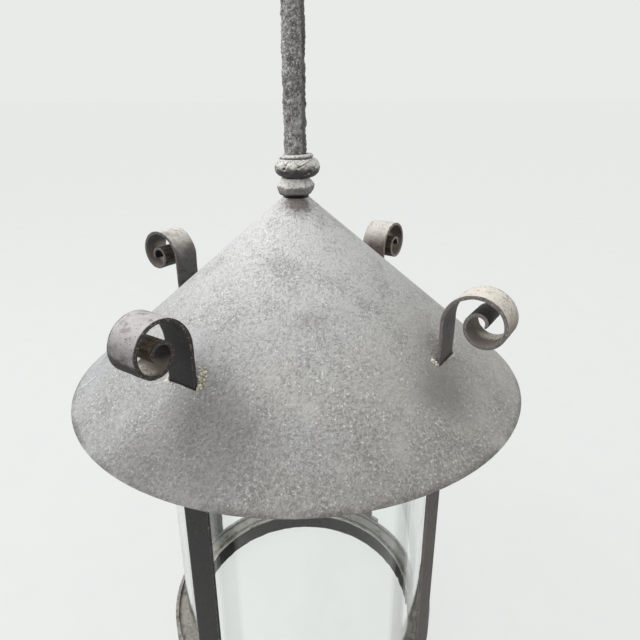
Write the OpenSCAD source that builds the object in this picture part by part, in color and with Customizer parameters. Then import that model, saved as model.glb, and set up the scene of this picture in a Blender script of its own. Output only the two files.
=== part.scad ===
// Wrought-iron gas lantern pendant: a sheet cone roof on a hanging pipe, a cage of four scrolled
// straps, a base ring with an open glass cylinder, and an inverted burner under the roof.
// Origin: centre of the base ring's lower edge. +Z runs up the hanging rod.

/* [Roof] */
// Diameter of the roof at its rim
roof_d = 381; // [340:1:420]
// Height of the roof's rim over the base
roof_rim_z = 287; // [280:1:300]
// Rise of the roof from its rim to the point where the cone would close
roof_rise = 163; // [150:1:175]
// Thickness of the roof sheet
roof_t = 1.6; // [1.2:0.1:2]
// Gap between a strap and its slot in the roof
slot_gap = 0.8; // [0.4:0.1:1.5]

/* [Hanging rod] */
// Outside diameter of the pipe
rod_d = 17.1; // [15:0.1:18]
// Inside diameter of the pipe
rod_bore_d = 12.5; // [9:0.1:13]
// Height of the pipe's upper end over the base
rod_top_z = 650; // [600:1:800]
// Outside diameter of the thread on the pipe's upper end
thread_d = 16.66; // [14:0.02:16.8]
// Length of that thread
thread_h = 18; // [12:0.5:24]
// Largest diameter of the knuckle bead
bead_d = 36; // [30:0.5:40]
// Height of the knuckle bead without its neck
bead_h = 15.2; // [13:0.1:18]
// Distance that the bead sits off the pipe's axis
bead_shift = 1.3; // [0:0.1:2]
// Diameter of the neck ring on top of the bead
neck_d = 25; // [22:0.5:28]
// Height of the neck ring
neck_h = 3.4; // [2:0.2:5]
// Angle by which the neck ring leans
neck_tilt = 3; // [0:0.5:5]
// Size across the flats of the faceted collar at its widest
collar_flats = 26; // [24:0.2:30]
// Height of the faceted collar
collar_h = 13; // [11:0.2:16]
// Gap between the collar's foot and the roof's tip, which a short boss fills
collar_gap = 2.5; // [1:0.1:4]
// Angle by which the collar's facets lean
collar_tilt = 2.6; // [0:0.1:5]

/* [Cage] */
// Width of the flat bar of straps, hoop and rings
bar_w = 25.4; // [22:0.2:28]
// Thickness of the straps
strap_t = 2.4; // [2:0.1:3.4]
// Thickness of the flat bar of hoop and rings
bar_t = 3.2; // [2.4:0.1:4]
// Radius from the axis to the straps' inner faces
cage_r = 133.7; // [131:0.1:136]
// Angle of the front left strap, turned from straight ahead
strap_turn = 36.2; // [30:0.1:40]
// Height at which the straps begin to curl
curl_z = 365; // [356:1:372]
// Outer radius of the scrolls' first bend
curl_r = 27; // [24:0.5:29]

/* [Rings] */
// Height of the base ring's inner wall
base_h = 20; // [16:0.5:26]
// Width of the base ring's ledge
ledge_w = 17.8; // [15:0.1:20]
// Height of the hoop's lower edge over the base
hoop_z = 0.8; // [0:0.1:4]
// Height of the hoop
hoop_h = 22.2; // [18:0.2:26]
// Length of the hoop's lapped end beyond the back right strap
lap_reach = 10; // [6:0.5:16]
// Height of the top ring's upper face over the base
top_ring_z = 282; // [275:1:290]

/* [Glass] */
// Gap between the glass cylinder and the hoop
glass_gap = 10; // [7:0.1:12]
// Wall of the glass cylinder
glass_t = 4.5; // [3:0.1:6]
// Gap between the glass's rim and the top ring
glass_head_gap = 3; // [1:0.5:6]

/* [Burner] */
// Height of the gas cock's plug over the base
cock_z = 242; // [240:0.5:246]
// Height of the cock's socket above its plug
cock_rise = 26; // [24:0.5:30]
// Depth of the cock's foot below its plug
cock_drop = 14; // [12:0.5:16]
// Diameter of the cock's plug
plug_d = 12; // [10:0.1:13]
// Diameter of the gas way through the cock
gas_d = 5; // [3:0.1:6]
// Length of the cock's lever from the plug to its eye
lever_reach = 32; // [26:1:34]
// Outside diameter of the mixing tube
tube_d = 18; // [16:0.1:20]
// Wall of the mixing tube
tube_t = 1.8; // [1.4:0.1:2.4]
// Diameter of each air hole
air_d = 5; // [3:0.1:6]
// Depth of the air holes below the tube's upper end
air_drop = 12; // [11:0.5:14]
// Diameter of the heat deflector
deflector_d = 92; // [70:1:110]
// Diameter of the mantle
mantle_d = 28; // [24:0.5:34]

/* [Fasteners] */
// Diameter of the rivets
rivet_d = 6; // [5:0.1:7]
// Size across the flats of the pipe nuts
nut_flats = 26; // [24:0.5:30]
// Thickness of the pipe nuts
nut_t = 7; // [5:0.2:8]

/* [Fits] */
// Radial gap of a rivet or the pipe in a hole
fit_gap = 0.05; // [0.03:0.01:0.1]
// Radial gap of a part that turns
run_gap = 0.06; // [0.03:0.01:0.1]

/* [Hidden] */
$fn = 96;
eps = 0.5;

// Radii of the pipe and of the holes that it passes through
rod_r = rod_d / 2;
rod_hole_r = rod_r + fit_gap;
rivet_hole_r = rivet_d / 2 + fit_gap;

// The cone's outer face at a radius, and the drop from it to the inner face
roof_r = roof_d / 2;
roof_slope = roof_rise / roof_r;
roof_drop = roof_t * sqrt(1 + roof_slope * roof_slope);
function cone_z(r) = roof_rim_z + roof_rise - roof_slope * r;

// The four straps, counted from the front left one to the right
STRAPS = 4;
function strap_angle(i) = -90 - strap_turn + i * 360 / STRAPS;
// Each scroll was bent by hand: its rise and the outer radius of each eighth turn, as shares of
// curl_r, and the degrees that it turns in all
scroll_rises = [-0.06, -0.01, 0.05, 0.14];
scroll_shares =
    [[1.1, 0.9, 0.79, 0.73, 0.68, 0.61, 0.53, 0.46, 0.42, 0.38, 0.34, 0.31, 0.28, 0.25],
     [0.98, 0.93, 0.86, 0.75, 0.64, 0.59, 0.56, 0.52, 0.45, 0.37, 0.31, 0.27, 0.24, 0.2],
     [0.96, 0.89, 0.82, 0.74, 0.66, 0.58, 0.51, 0.44, 0.4, 0.36, 0.32, 0.29, 0.26, 0.23],
     [0.98, 0.88, 0.8, 0.74, 0.67, 0.58, 0.5, 0.43, 0.37, 0.34, 0.31, 0.28, 0.26, 0.23]];
scroll_turns = [570, 552, 561, 585];
scroll_step = 45;
scroll_facet = 3;

// Base: the hoop inside the straps, the ledge inside the hoop
hoop_r = cage_r;
hoop_bore_r = hoop_r - bar_t;
ledge_r = hoop_bore_r - fit_gap;
base_r = hoop_bore_r - ledge_w;
glass_r = hoop_bore_r - glass_gap;
rivet_head_r = rivet_d * 0.85;
rivet_head_gap = 0.5;
hoop_rivet_z = base_h - bar_t - rivet_head_r - rivet_head_gap;
strap_foot_z = hoop_z;

// Top: an angle ring inside the straps, its flange on top
top_bore_r = hoop_bore_r;
top_flange_r = hoop_r - bar_w;
top_rivet_z = top_ring_z - bar_t - (bar_w - bar_t) / 2;
glass_h = top_ring_z - bar_t - glass_head_gap - base_h;

// Spider over the top ring's flange
spider_z = top_ring_z;
spider_t = bar_t;
spider_hub_r = 24;
spider_reach = hoop_r - 2;
spider_rivet_r = (top_flange_r + top_bore_r) / 2;

// Collar, bead and neck stand on the cone's tip
collar_foot_flats = 19.4;
collar_head_flats = 18;
collar_waist_h = collar_h * 0.52;
collar_boss_r = rod_hole_r + 0.8;
collar_z = cone_z(collar_foot_flats / 2) + collar_gap;
bead_z = collar_z + collar_h;
bead_side_r = bead_h / 2;
neck_z = bead_z + bead_h - 1;

// Under the tip: a turned washer that fills the cone, then a nut
washer_r = 19;
washer_z = cone_z(washer_r) - roof_drop;
washer_h = 3;
roof_nut_z = washer_z - washer_h - nut_t;

// Cock: a body on the rod's foot, with a barrel along X for the plug
body_r = 12;
body_socket_h = 14;
body_top_z = cock_z + cock_rise;
rod_foot_z = body_top_z - body_socket_h;
body_foot_z = cock_z - cock_drop;
barrel_r = 10.5;
barrel_half = 17;
plug_r = plug_d / 2;
plug_head_t = 4;
plug_hole_r = plug_r + run_gap;
lever_t = 4;
lever_eye_r = 6.5;
lever_eye_bore_r = 3;
cock_nut_t = 5;
side_gap = 0.3;
stub_r = 4;

// Injector under the cock, mixing tube under the injector
spigot_r = 6;
spigot_h = 5;
hex_h = 6;
hex_flats = 22;
tube_r = tube_d / 2;
tube_bore_r = tube_r - tube_t;
tube_top_z = body_foot_z - hex_h;
skirt_h = 5;
jet_h = 5;
jet_d = 1.2;
air_z = tube_top_z - air_drop;
AIR_HOLES = 4;

// Air shutter around the tube, resting on the tube's shoulder
shutter_h = 12;
shutter_t = 1.6;
shutter_bore_r = tube_r + run_gap;
shutter_r = shutter_bore_r + shutter_t;
shoulder_z = air_z - shutter_h / 2;
shoulder_h = 3;
shoulder_r = shutter_r + 1;
tab_reach = 9;

// Deflector under the shoulder, clamped by the burner head
deflector_r = deflector_d / 2;
deflector_t = 0.8;
deflector_drop = 8;
deflector_flat_r = 15;
deflector_z = shoulder_z - shoulder_h - deflector_t;
head_h = 16;
head_r = 14;
head_top_z = deflector_z;
head_foot_z = head_top_z - head_h;
tube_foot_z = head_foot_z + 4;

// Ceramic nozzle under the head, mantle ring and mantle hung on it
nozzle_r = 10;
nozzle_bore_r = 6;
nozzle_flange_r = 13;
nozzle_flange_h = 3;
nozzle_h = 14;
nozzle_foot_z = head_foot_z - nozzle_h;
ring_h = 4;
ring_z = head_foot_z - nozzle_flange_h - ring_h;
ring_wall = 3;
mantle_r = mantle_d / 2;
mantle_t = 0.8;

// A straight tube standing on the XY plane
module tube(outer_r, inner_r, h) {
    difference() {
        cylinder(r = outer_r, h = h);
        translate([0, 0, -eps]) cylinder(r = inner_r, h = h + 2 * eps);
    }
}

// Turns its children once for each strap
module at_straps() {
    for (i = [0 : STRAPS - 1]) rotate([0, 0, strap_angle(i)]) children();
}

// A hexagonal nut with both corners chamfered, bored for the pipe
module pipe_nut(bore_r) {
    corner_r = nut_flats / sqrt(3);
    difference() {
        intersection() {
            cylinder(r = corner_r, h = nut_t, $fn = 6);
            rotate_extrude() polygon([[0, 0], [nut_flats / 2, 0], [corner_r, (corner_r - nut_flats / 2) / 2],
                                      [corner_r, nut_t - (corner_r - nut_flats / 2) / 2],
                                      [nut_flats / 2, nut_t], [0, nut_t]]);
        }
        translate([0, 0, -eps]) cylinder(r = bore_r, h = nut_t + 2 * eps);
    }
}

// The hanging pipe, open at both ends, with the thread's plain cylinder at the top
module down_rod() {
    color([0.42, 0.41, 0.41]) {
        translate([0, 0, rod_foot_z]) tube(rod_r, rod_bore_d / 2, rod_top_z - thread_h - rod_foot_z);
        translate([0, 0, rod_top_z - thread_h - eps]) tube(thread_d / 2, rod_bore_d / 2, thread_h + eps);
    }
}

// The rounded bead, forged a little off centre, with a thin tilted neck ring, sliding on the pipe
module knuckle_bead() {
    color([0.55, 0.54, 0.53]) difference() {
        union() {
            translate([bead_shift, 0, bead_z + bead_side_r]) rotate_extrude() {
                translate([bead_d / 2 - bead_side_r, 0]) circle(r = bead_side_r);
                translate([0, -bead_side_r]) square([bead_d / 2 - bead_side_r, bead_h]);
            }
            translate([bead_shift / 2, 0, neck_z]) rotate([0, -neck_tilt, 0])
                cylinder(d = neck_d, h = neck_h);
        }
        translate([0, 0, bead_z - eps]) cylinder(r = rod_hole_r, h = bead_h + 2 * neck_h);
    }
}

// Profile of the collar between two opposite flats, run on above its head by the tilt's reach
module collar_profile() {
    over = collar_flats * sin(collar_tilt);
    head = collar_head_flats / 2;
    taper = (collar_flats / 2 - head) / (collar_h - collar_waist_h);
    polygon([[-collar_foot_flats / 2, 0], [-collar_flats / 2, collar_waist_h],
             [-head + over * taper, collar_h + over], [head - over * taper, collar_h + over],
             [collar_flats / 2, collar_waist_h], [collar_foot_flats / 2, 0]]);
}

// Six-sided collar, widest at its waist, with a short boss that stands on the cone's tip
module faceted_collar() {
    color([0.5, 0.49, 0.48]) difference() {
        union() {
            translate([0, 0, collar_z]) rotate([0, -collar_tilt, 0]) intersection_for(i = [0 : 2])
                rotate([90, 0, 30 + i * 60]) linear_extrude(2 * collar_flats, center = true)
                    collar_profile();
            rotate_extrude() polygon([[0, cone_z(0)], [collar_boss_r, cone_z(collar_boss_r)],
                                      [collar_boss_r, bead_z], [0, bead_z]]);
        }
        translate([-collar_flats, -collar_flats, bead_z])
            cube([2 * collar_flats, 2 * collar_flats, collar_flats]);
        translate([0, 0, collar_z - collar_flats / 2]) cylinder(r = rod_hole_r, h = 2 * collar_flats);
    }
}

// Sheet cone with a hole for the pipe and a slot for each strap
module roof() {
    color([0.62, 0.62, 0.63]) difference() {
        rotate_extrude() polygon([[rod_hole_r, cone_z(rod_hole_r)], [roof_r, cone_z(roof_r)],
                                  [roof_r - roof_t * 0.65, cone_z(roof_r) - roof_t * 0.76],
                                  [rod_hole_r, cone_z(rod_hole_r) - roof_drop]]);
        at_straps() translate([cage_r - slot_gap, -bar_w / 2 - slot_gap, roof_rim_z])
            cube([strap_t + 2 * slot_gap, bar_w + 2 * slot_gap, roof_rise]);
    }
}

// Turned washer that fills the cone's tip from below
module roof_washer() {
    top_r = rod_hole_r + 1.5;
    color([0.38, 0.36, 0.34]) rotate_extrude()
        polygon([[rod_hole_r, washer_z - washer_h], [washer_r, washer_z - washer_h], [washer_r, washer_z],
                 [top_r, cone_z(top_r) - roof_drop], [rod_hole_r, cone_z(top_r) - roof_drop]]);
}

// Nut that holds the roof up against the collar
module roof_nut() {
    color([0.36, 0.34, 0.32]) translate([0, 0, roof_nut_z]) pipe_nut(rod_r);
}

// Radius of the scroll's outer face in one of its arcs
function arc_r(i, k) = curl_r * scroll_shares[i][k];

// Centre of an arc of the scroll: each arc starts where the last one ends, on the same tangent
function arc_centre(i, k) =
    k == 0 ? [cage_r + arc_r(i, 0), curl_z + curl_r * scroll_rises[i]]
           : arc_centre(i, k - 1) + (arc_r(i, k - 1) - arc_r(i, k))
             * [cos(180 - k * scroll_step), sin(180 - k * scroll_step)];

// Point of the scroll after it has turned by an angle, so far in from its outer face
function scroll_point(i, turned, inset) =
    let (k = floor(turned / scroll_step))
    arc_centre(i, k) + (arc_r(i, k) - inset) * [cos(180 - turned), sin(180 - turned)];

// A strap of flat bar seen from its side: a straight leg that curls outwards into a scroll
module strap_side(i) {
    turns = [for (turned = [0 : scroll_facet : scroll_turns[i]]) turned];
    last = len(turns) - 1;
    polygon(concat([[cage_r + strap_t, strap_foot_z], [cage_r, strap_foot_z]],
                   [for (turned = turns) scroll_point(i, turned, 0)],
                   [for (n = [0 : last]) scroll_point(i, turns[last - n], strap_t)]));
}

// A strap stood upright, with its countersunk holes for the hoop's and the top ring's rivets
module strap(i) {
    color([0.3, 0.29, 0.29]) rotate([0, 0, strap_angle(i)]) difference() {
        translate([0, bar_w / 2, 0]) rotate([90, 0, 0]) linear_extrude(bar_w) strap_side(i);
        for (z = [hoop_rivet_z, top_rivet_z]) translate([cage_r, 0, z]) rivet_hole();
    }
}

module strap_front_left() { strap(0); }
module strap_front_right() { strap(1); }
module strap_back_right() { strap(2); }
module strap_back_left() { strap(3); }

// Hole through a strap, countersunk from its outer face, with its axis along X
module rivet_hole() {
    rotate([0, 90, 0]) {
        translate([0, 0, -eps]) cylinder(r = rivet_hole_r, h = strap_t + 2 * eps);
        translate([0, 0, strap_t / 2])
            cylinder(r1 = rivet_hole_r, r2 = rivet_d * 0.9, h = strap_t / 2);
        translate([0, 0, strap_t]) cylinder(r = rivet_d * 0.9, h = eps);
    }
}

// Rivet along X: a countersunk outer head, a shank and a low round head inside the ring
module strap_rivet() {
    inner_x = sqrt(hoop_bore_r * hoop_bore_r - rivet_head_r * rivet_head_r);
    rotate([0, 90, 0]) {
        translate([0, 0, inner_x]) cylinder(r = rivet_d / 2, h = cage_r + strap_t / 2 - inner_x);
        translate([0, 0, cage_r + strap_t / 2])
            cylinder(r1 = rivet_d / 2, r2 = rivet_d * 0.9 - fit_gap, h = strap_t / 2);
        translate([0, 0, inner_x - 1]) cylinder(r = rivet_head_r, h = 1);
        translate([0, 0, inner_x - 2.4]) cylinder(r1 = rivet_d * 0.5, r2 = rivet_head_r, h = 1.4);
    }
}

// Angle ring riveted inside the straps under the roof, with its flange on top
module top_ring() {
    color([0.34, 0.33, 0.32]) difference() {
        translate([0, 0, top_ring_z - bar_w]) union() {
            tube(hoop_r, top_bore_r, bar_w);
            translate([0, 0, bar_w - bar_t]) tube(hoop_r, top_flange_r, bar_t);
        }
        at_straps() {
            translate([top_bore_r - eps, 0, top_rivet_z]) rotate([0, 90, 0])
                cylinder(r = rivet_hole_r, h = bar_t + 2 * eps);
            translate([spider_rivet_r, 0, top_ring_z - bar_t - eps])
                cylinder(r = rivet_hole_r, h = bar_t + 2 * eps);
        }
    }
}

// Flat cross that carries the cage on the pipe
module spider() {
    color([0.33, 0.32, 0.31]) translate([0, 0, spider_z]) difference() {
        union() {
            cylinder(r = spider_hub_r, h = spider_t);
            at_straps() intersection() {
                translate([0, -bar_w / 2, 0]) cube([hoop_r, bar_w, spider_t]);
                cylinder(r = spider_reach, h = spider_t);
            }
        }
        translate([0, 0, -eps]) cylinder(r = rod_hole_r, h = spider_t + 2 * eps);
        at_straps() translate([spider_rivet_r, 0, -eps])
            cylinder(r = rivet_hole_r, h = spider_t + 2 * eps);
    }
}

module spider_nut_upper() {
    color([0.36, 0.34, 0.32]) translate([0, 0, spider_z + spider_t]) pipe_nut(rod_r);
}

module spider_nut_lower() {
    color([0.36, 0.34, 0.32]) translate([0, 0, spider_z - nut_t]) pipe_nut(rod_r);
}

// Upright rivets through the spider's arms and the top ring's flange
module spider_rivets() {
    grip = spider_t + bar_t;
    color([0.4, 0.38, 0.36]) at_straps() translate([spider_rivet_r, 0, spider_z - bar_t]) {
        cylinder(r = rivet_d / 2, h = grip);
        translate([0, 0, grip]) cylinder(r = rivet_head_r, h = 1);
        translate([0, 0, grip + 1]) cylinder(r1 = rivet_head_r, r2 = rivet_d * 0.5, h = 1.4);
        translate([0, 0, -1]) cylinder(r = rivet_head_r, h = 1);
        translate([0, 0, -2.4]) cylinder(r1 = rivet_d * 0.5, r2 = rivet_head_r, h = 1.4);
    }
}

// Rivets that hold the straps to the top ring
module top_rivets() {
    color([0.4, 0.38, 0.36]) at_straps() translate([0, 0, top_rivet_z]) strap_rivet();
}

// Base ring: an upright inner wall with a ledge on top that carries the glass
module bottom_ring() {
    color([0.36, 0.35, 0.35]) {
        tube(base_r + bar_t, base_r, base_h);
        translate([0, 0, base_h - bar_t]) tube(ledge_r, base_r, bar_t);
    }
}

// Hoop of flat bar inside the straps; its lapped end runs on behind and past the back right strap
module bottom_hoop() {
    lap_start = strap_angle(2) - asin((bar_w / 2 + 0.3) / cage_r);
    lap_sweep = lap_reach / cage_r * 180 / PI;
    lap_lift = 2;
    lap_weld = 0.6;
    color([0.34, 0.33, 0.33]) {
        difference() {
            translate([0, 0, hoop_z]) tube(hoop_r, hoop_bore_r, hoop_h);
            at_straps() translate([hoop_bore_r - eps, 0, hoop_rivet_z]) rotate([0, 90, 0])
                cylinder(r = rivet_hole_r, h = bar_t + 2 * eps);
        }
        translate([0, 0, hoop_z + lap_lift]) rotate([0, 0, lap_start - lap_sweep])
            rotate_extrude(angle = lap_sweep)
                translate([hoop_r - lap_weld, 0]) square([bar_t + lap_weld, hoop_h]);
    }
}

// Rivets that hold the straps to the hoop
module hoop_rivets() {
    color([0.42, 0.36, 0.35]) at_straps() translate([0, 0, hoop_rivet_z]) strap_rivet();
}

// Open glass cylinder, standing on the base ring's ledge
module glass_cylinder() {
    color([0.8, 0.86, 0.84, 0.4]) translate([0, 0, base_h])
        tube(glass_r, glass_r - glass_t, glass_h);
}

// Body of the gas cock: a socket for the pipe, a cross barrel for the plug and a threaded foot
module cock_body() {
    color([0.62, 0.5, 0.28]) difference() {
        union() {
            translate([0, 0, body_foot_z]) cylinder(r = body_r, h = body_top_z - body_foot_z);
            translate([-barrel_half, 0, cock_z]) rotate([0, 90, 0])
                cylinder(r = barrel_r, h = 2 * barrel_half);
        }
        translate([0, 0, rod_foot_z]) cylinder(r = rod_hole_r, h = body_socket_h + eps);
        translate([0, 0, body_foot_z + spigot_h - eps])
            cylinder(d = gas_d, h = rod_foot_z - body_foot_z - spigot_h + 2 * eps);
        translate([0, 0, body_foot_z - eps]) cylinder(r = spigot_r + fit_gap, h = spigot_h + eps);
        translate([-barrel_half - eps, 0, cock_z]) rotate([0, 90, 0])
            cylinder(r = plug_hole_r, h = 2 * (barrel_half + eps));
    }
}

// Plug of the cock, with its gas way shut at rest, forged in one with the lever and its eye
module cock_lever() {
    head_x = barrel_half + side_gap;
    tail_x = -barrel_half - side_gap;
    color([0.66, 0.54, 0.3]) translate([0, 0, cock_z]) difference() {
        union() {
            translate([tail_x, 0, 0]) rotate([0, 90, 0]) cylinder(r = plug_r, h = head_x - tail_x);
            translate([tail_x - cock_nut_t, 0, 0]) rotate([0, 90, 0])
                cylinder(r = stub_r, h = cock_nut_t + eps);
            translate([head_x, 0, 0]) rotate([0, 90, 0]) cylinder(r = plug_r + 2, h = plug_head_t);
            translate([head_x, 0, -lever_t / 2]) cube([plug_head_t, lever_reach, lever_t]);
            translate([head_x, lever_reach, 0]) rotate([0, 90, 0])
                cylinder(r = lever_eye_r, h = plug_head_t);
        }
        translate([0, -plug_r - eps, 0]) rotate([-90, 0, 0]) cylinder(d = gas_d, h = 2 * (plug_r + eps));
        translate([head_x - eps, lever_reach, 0]) rotate([0, 90, 0])
            cylinder(r = lever_eye_bore_r, h = plug_head_t + 2 * eps);
    }
}

// Nut that keeps the plug in its barrel
module cock_nut() {
    tail_x = -barrel_half - side_gap;
    color([0.6, 0.48, 0.26]) translate([tail_x - cock_nut_t, 0, cock_z]) rotate([0, 90, 0])
        difference() {
            cylinder(r = plug_r + 2, h = cock_nut_t, $fn = 6);
            translate([0, 0, -eps]) cylinder(r = stub_r, h = cock_nut_t + 2 * eps);
        }
}

// Injector: a spigot up into the cock, a hexagon, a skirt into the mixing tube and the jet
module injector() {
    color([0.68, 0.56, 0.32]) difference() {
        union() {
            translate([0, 0, body_foot_z - eps]) cylinder(r = spigot_r, h = spigot_h + eps);
            translate([0, 0, tube_top_z]) cylinder(r = hex_flats / sqrt(3), h = hex_h, $fn = 6);
            translate([0, 0, tube_top_z - skirt_h])
                cylinder(r = tube_bore_r - fit_gap, h = skirt_h + eps);
            translate([0, 0, tube_top_z - skirt_h - jet_h])
                cylinder(r1 = jet_d * 1.2, r2 = tube_bore_r - 3, h = jet_h);
        }
        translate([0, 0, tube_top_z - skirt_h]) cylinder(d = gas_d, h = body_foot_z + 2 * spigot_h);
        translate([0, 0, tube_top_z - skirt_h - jet_h - eps]) cylinder(d = jet_d, h = jet_h + 2 * eps);
    }
}

// Ring of air holes through a wall, with their axes in the XY plane
module air_holes(reach) {
    for (i = [0 : AIR_HOLES - 1]) rotate([0, 0, i * 360 / AIR_HOLES]) translate([0, 0, air_z])
        rotate([0, 90, 0]) cylinder(d = air_d, h = reach);
}

// Mixing tube with four air holes and the shoulder that the shutter rests on
module mixing_tube() {
    color([0.6, 0.49, 0.28]) difference() {
        union() {
            translate([0, 0, tube_foot_z]) cylinder(r = tube_r, h = tube_top_z - tube_foot_z);
            translate([0, 0, shoulder_z - shoulder_h]) cylinder(r = shoulder_r, h = shoulder_h);
        }
        translate([0, 0, tube_foot_z - eps])
            cylinder(r = tube_bore_r, h = tube_top_z - tube_foot_z + 2 * eps);
        air_holes(tube_r + eps);
    }
}

// Sleeve that turns round the tube to close its air holes, with a finger tab
module air_shutter() {
    color([0.7, 0.58, 0.34]) difference() {
        translate([0, 0, shoulder_z]) {
            tube(shutter_r, shutter_bore_r, shutter_h);
            rotate([0, 0, 180 / AIR_HOLES]) translate([shutter_r - 0.4, -1, 2])
                cube([tab_reach, 2, shutter_h - 4]);
        }
        air_holes(shutter_r + eps);
    }
}

// Sheet dish that shades the cock and the shutter from the heat, its rim lower than its centre
module deflector() {
    color([0.5, 0.5, 0.48]) translate([0, 0, deflector_z]) rotate_extrude()
        polygon([[tube_r + fit_gap, 0], [deflector_flat_r, 0], [deflector_r, -deflector_drop],
                 [deflector_r, deflector_t - deflector_drop], [deflector_flat_r, deflector_t],
                 [tube_r + fit_gap, deflector_t]]);
}

// Head on the tube's foot, closed below except for the gas way, with a lip for the nozzle
module burner_head() {
    color([0.62, 0.5, 0.28]) translate([0, 0, head_foot_z]) difference() {
        union() {
            cylinder(r = head_r, h = head_h - 4);
            translate([0, 0, head_h - 4]) cylinder(r1 = head_r, r2 = head_r - 2, h = 4);
        }
        translate([0, 0, tube_foot_z - head_foot_z])
            cylinder(r = tube_r + fit_gap, h = head_h);
        translate([0, 0, -eps]) cylinder(r = tube_bore_r, h = head_h);
    }
}

// Fired clay nozzle under the head
module ceramic_nozzle() {
    color([0.9, 0.88, 0.82]) translate([0, 0, nozzle_foot_z]) difference() {
        union() {
            cylinder(r = nozzle_r, h = nozzle_h);
            translate([0, 0, nozzle_h - nozzle_flange_h])
                cylinder(r = nozzle_flange_r, h = nozzle_flange_h);
        }
        translate([0, 0, -eps]) cylinder(r = nozzle_bore_r, h = nozzle_h + 2 * eps);
    }
}

// Clay ring that carries the mantle
module mantle_ring() {
    color([0.92, 0.9, 0.84]) translate([0, 0, ring_z])
        tube(nozzle_r + fit_gap + ring_wall, nozzle_r + fit_gap, ring_h);
}

// The mantle: a thin round-bottomed bag open at the top
module mantle() {
    bag_z = ring_z - mantle_r * 0.35;
    color([0.95, 0.94, 0.9]) rotate_extrude() intersection() {
        translate([0, bag_z]) difference() {
            circle(r = mantle_r);
            circle(r = mantle_r - mantle_t);
        }
        translate([0, bag_z - mantle_r]) square([mantle_r, ring_z - bag_z + mantle_r]);
    }
}

down_rod();
knuckle_bead();
faceted_collar();
roof();
roof_washer();
roof_nut();
strap_front_left();
strap_front_right();
strap_back_right();
strap_back_left();
top_ring();
spider();
spider_nut_upper();
spider_nut_lower();
spider_rivets();
top_rivets();
bottom_ring();
bottom_hoop();
hoop_rivets();
glass_cylinder();
cock_body();
cock_lever();
cock_nut();
injector();
mixing_tube();
air_shutter();
deflector();
burner_head();
ceramic_nozzle();
mantle_ring();
mantle();
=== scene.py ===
import math

import bpy
from mathutils import Matrix, Vector, noise


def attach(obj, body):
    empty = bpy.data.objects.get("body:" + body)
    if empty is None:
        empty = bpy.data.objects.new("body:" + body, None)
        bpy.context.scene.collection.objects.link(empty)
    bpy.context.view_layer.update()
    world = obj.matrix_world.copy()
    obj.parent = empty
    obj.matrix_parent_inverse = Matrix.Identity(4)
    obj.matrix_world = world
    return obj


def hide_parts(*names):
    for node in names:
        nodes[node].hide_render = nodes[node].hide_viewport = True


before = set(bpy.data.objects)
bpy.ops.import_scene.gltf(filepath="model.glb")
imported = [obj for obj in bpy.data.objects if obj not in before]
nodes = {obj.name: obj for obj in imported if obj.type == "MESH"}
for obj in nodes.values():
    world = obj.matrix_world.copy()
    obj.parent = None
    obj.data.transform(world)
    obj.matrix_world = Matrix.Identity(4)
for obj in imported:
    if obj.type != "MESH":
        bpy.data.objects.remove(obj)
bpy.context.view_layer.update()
print("lantern loaded with", len(nodes), "CAD pieces")


# A socket that takes part in plain arithmetic: each expression adds its Math node
class Wire:
    def __init__(self, finish, socket):
        self.finish = finish
        self.socket = socket

    def __add__(self, other):
        return self.finish.math("ADD", self, other)

    def __sub__(self, other):
        return self.finish.math("SUBTRACT", self, other)

    def __rsub__(self, other):
        return self.finish.math("SUBTRACT", other, self)

    def __mul__(self, other):
        return self.finish.math("MULTIPLY", self, other)

    def __truediv__(self, other):
        return self.finish.math("DIVIDE", self, other)

    def __pow__(self, other):
        return self.finish.math("POWER", self, other)

    def __abs__(self):
        return self.finish.math("ABSOLUTE", self)

    __radd__ = __add__
    __rmul__ = __mul__

    # 0 below low, 1 above high, smooth in between; low may be the larger of the two
    def rise(self, low, high):
        if low > high:
            return 1 - self.rise(high, low)
        return self.finish.node("MapRange", {"interpolation_type": "SMOOTHSTEP"},
                                {"Value": self, "From Min": low, "From Max": high})


def openSocket(sockets, name):
    if isinstance(name, int):
        return sockets[name]
    return next(s for s in sockets if s.enabled and name in (None, s.name))


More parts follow.
